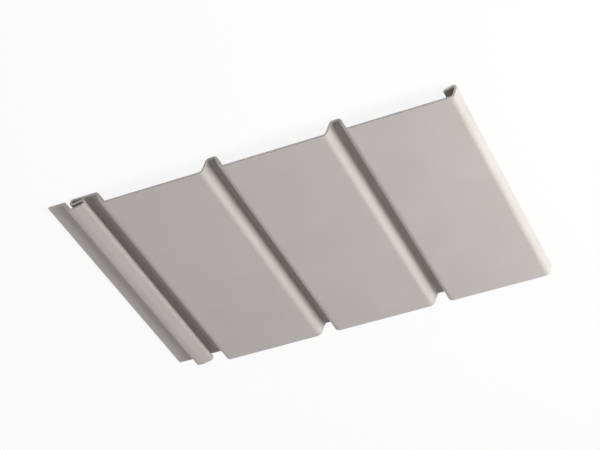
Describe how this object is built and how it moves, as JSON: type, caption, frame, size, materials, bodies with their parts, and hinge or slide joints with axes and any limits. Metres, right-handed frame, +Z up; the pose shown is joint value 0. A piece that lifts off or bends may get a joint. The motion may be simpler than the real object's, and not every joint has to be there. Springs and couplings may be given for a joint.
{
  "type": "soffit panel",
  "caption": "Ribbed sheet for closing the underside of eaves, with flat faces between trapezoid grooves, a nailing flange and lock channel on one edge and a hook on the other.",
  "frame": {"origin": "middle of the overall box in X and Y, at the plane the grooves rest on", "axes": "+X across the panel from the hook toward the nail flange, +Y along the extrusion, +Z up out of the finished face"},
  "size_m": [0.3382, 0.2286, 0.0134],
  "materials": {
    "vinyl": "satin extruded rigid PVC, warm light grey, coloured all through"
  },
  "bodies": {
    "root": {"soffit_panel": "vinyl"}
  },
  "joints": []
}
